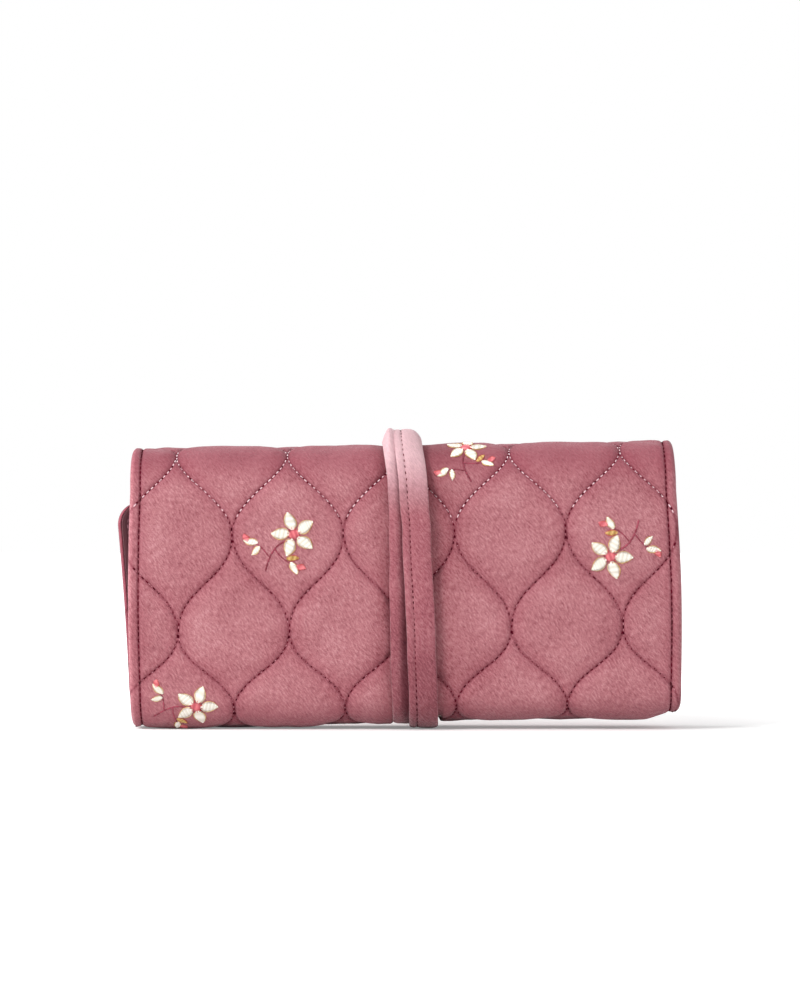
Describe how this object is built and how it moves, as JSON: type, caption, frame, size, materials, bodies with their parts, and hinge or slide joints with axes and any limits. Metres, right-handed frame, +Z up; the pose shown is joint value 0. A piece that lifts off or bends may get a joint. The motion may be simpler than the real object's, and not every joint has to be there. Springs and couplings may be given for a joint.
{
  "type": "jewelry roll",
  "caption": "Quilted velvet jewelry roll tied round with a strap; unrolls flat to show zipped pockets and a ring bar.",
  "frame": {"origin": "middle of the closed roll's footprint, on the surface that it stands on", "axes": "+Z up, +X along the roll's width, the front face toward -Y"},
  "size_m": [0.2366, 0.0558, 0.126],
  "materials": {
    "quilted_velvet": "dusty rose velvet, quilted",
    "strap_velvet": "dusty rose velvet",
    "lining_cloth": "dark burgundy lining",
    "foam_interlining": "thin white foam",
    "pocket_velvet": "burgundy velvet",
    "zip_tape": "woven tape",
    "brass": "polished pale brass"
  },
  "bodies": {
    "root": {"bottom_fold_cover": "quilted_velvet", "bottom_fold_interlining": "foam_interlining", "bottom_fold_lining": "lining_cloth", "strap": "strap_velvet", "strap_stud": "brass", "ring_bar_anchor": "pocket_velvet", "ring_bar_snap_stud": "brass"},
    "front_panel": {"front_cover": "quilted_velvet", "front_interlining": "foam_interlining", "front_lining": "lining_cloth", "front_pocket": "pocket_velvet", "front_zip_tape_upper": "zip_tape", "front_zip_tape_lower": "zip_tape", "front_zip_teeth_upper": "brass", "front_zip_teeth_lower": "brass", "front_zip_top_stop": "brass", "front_zip_bottom_stop": "brass"},
    "top_fold": {"top_fold_cover": "quilted_velvet", "top_fold_interlining": "foam_interlining", "top_fold_lining": "lining_cloth"},
    "flap": {"flap_cover": "quilted_velvet", "flap_interlining": "foam_interlining", "flap_lining": "lining_cloth"},
    "back_panel": {"back_cover": "quilted_velvet", "back_interlining": "foam_interlining", "back_lining": "lining_cloth", "back_pocket": "pocket_velvet", "back_zip_tape_upper": "zip_tape", "back_zip_tape_lower": "zip_tape", "back_zip_teeth_upper": "brass", "back_zip_teeth_lower": "brass", "back_zip_top_stop": "brass", "back_zip_bottom_stop": "brass"},
    "ring_bar": {"ring_bar": "pocket_velvet", "ring_bar_snap_cap": "brass", "ring_bar_snap_socket": "brass"},
    "front_zip_slider": {"front_zip_slider": "brass"},
    "front_zip_pull": {"front_zip_pull": "brass"},
    "back_zip_slider": {"back_zip_slider": "brass"},
    "back_zip_pull": {"back_zip_pull": "brass"}
  },
  "joints": [
    {"name": "front_panel_fold", "type": "hinge", "parent": "root", "child": "front_panel", "pos_m": [0, -0.02062, 0.00343], "axis": [1, 0, 0], "range_deg": [0, 90], "deforming": ["strap", "strap_stud"]},
    {"name": "top_fold_bend", "type": "hinge", "parent": "front_panel", "child": "top_fold", "pos_m": [0, -0.01976, 0.11571], "axis": [1, 0, 0], "range_deg": [0, 90]},
    {"name": "flap_bend", "type": "hinge", "parent": "top_fold", "child": "flap", "pos_m": [0, 0.01766, 0.11571], "axis": [1, 0, 0], "range_deg": [0, 90]},
    {"name": "back_panel_fold", "type": "hinge", "parent": "root", "child": "back_panel", "pos_m": [0, 0.01852, 0.00343], "axis": [-1, 0, 0], "range_deg": [0, 90]},
    {"name": "ring_bar_lift", "type": "hinge", "parent": "root", "child": "ring_bar", "pos_m": [-0.09382, -0.00105, 0.0108], "axis": [0, -1, 0], "range_deg": [0, 60]},
    {"name": "front_zip_travel", "type": "slide", "parent": "front_panel", "child": "front_zip_slider", "axis": [-1, 0, 0], "range_m": [0, 0.171]},
    {"name": "front_zip_pull_swing", "type": "hinge", "parent": "front_zip_slider", "child": "front_zip_pull", "pos_m": [0.08883, -0.01149, 0.082], "axis": [0, 0, -1], "range_deg": [0, 180]},
    {"name": "back_zip_travel", "type": "slide", "parent": "back_panel", "child": "back_zip_slider", "axis": [1, 0, 0], "range_m": [0, 0.171]},
    {"name": "back_zip_pull_swing", "type": "hinge", "parent": "back_zip_slider", "child": "back_zip_pull", "pos_m": [-0.08217, 0.00939, 0.066], "axis": [0, 0, -1], "range_deg": [0, 180]}
  ],
  "couplings": [
    {"joint": "top_fold_bend", "follows": "front_panel_fold", "ratio": 1},
    {"joint": "flap_bend", "follows": "front_panel_fold", "ratio": 1},
    {"joint": "back_panel_fold", "follows": "front_panel_fold", "ratio": 1},
    {"joint": "ring_bar_lift", "follows": "front_panel_fold", "ratio": 0.6666}
  ]
}
